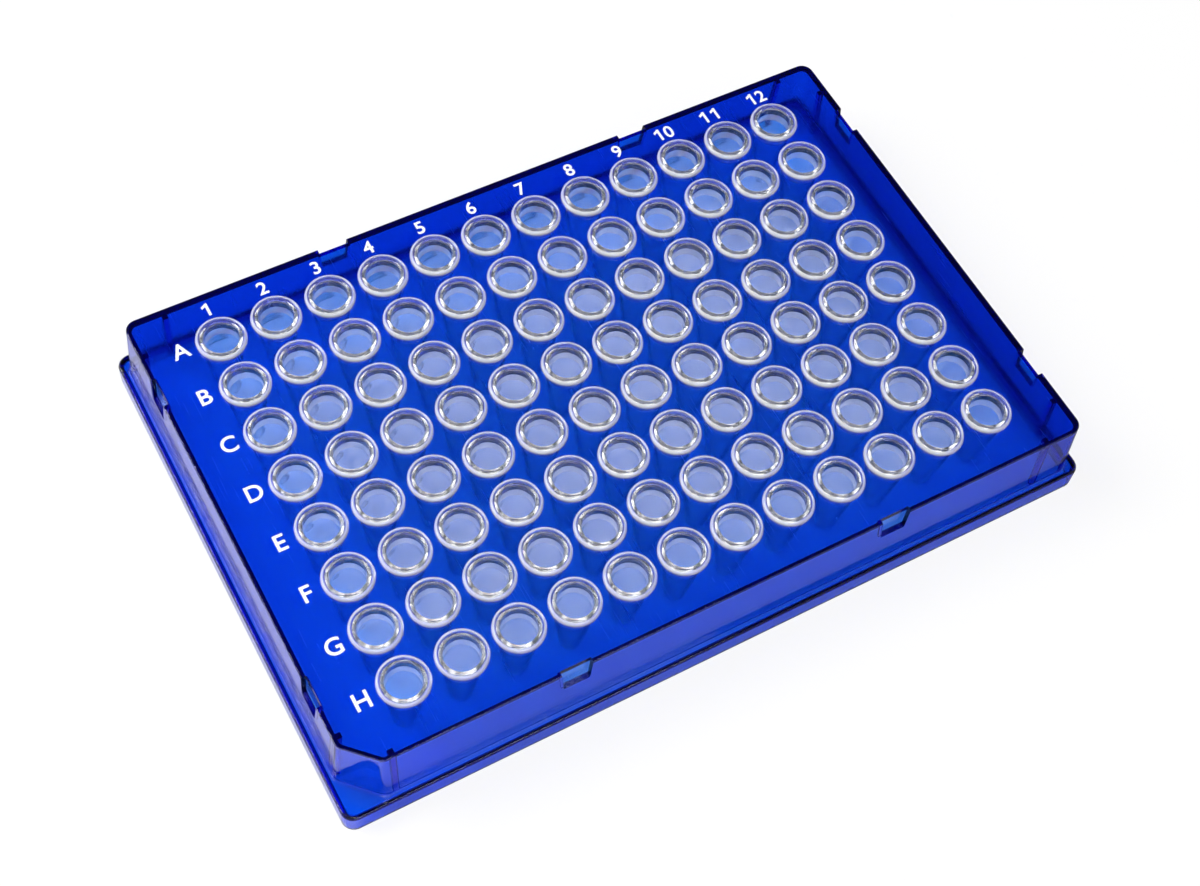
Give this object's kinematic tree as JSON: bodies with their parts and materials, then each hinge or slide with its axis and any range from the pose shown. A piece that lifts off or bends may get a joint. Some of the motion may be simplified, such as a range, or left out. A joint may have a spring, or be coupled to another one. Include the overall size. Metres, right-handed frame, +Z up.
{
  "type": "well plate",
  "caption": "Low skirted laboratory well plate: a clear blue frame with one cut corner holds thin conical clear wells in a lettered and numbered grid.",
  "frame": {"origin": "middle of the base flange's footprint, on the plane that it stands on", "axes": "+X along the length from column 1 to column 12, +Y across the width from row H to row A, +Z up"},
  "size_m": [0.1278, 0.0854, 0.0161],
  "materials": {
    "frame_blue_plastic": "gloss",
    "well_clear_plastic": "gloss",
    "print_white_ink": "satin"
  },
  "bodies": {
    "root": {"frame": "frame_blue_plastic", "wells_column_01": "well_clear_plastic", "wells_column_02": "well_clear_plastic", "wells_column_03": "well_clear_plastic", "wells_column_04": "well_clear_plastic", "wells_column_05": "well_clear_plastic", "wells_column_06": "well_clear_plastic", "wells_column_07": "well_clear_plastic", "wells_column_08": "well_clear_plastic", "wells_column_09": "well_clear_plastic", "wells_column_10": "well_clear_plastic", "wells_column_11": "well_clear_plastic", "wells_column_12": "well_clear_plastic"}
  },
  "joints": []
}
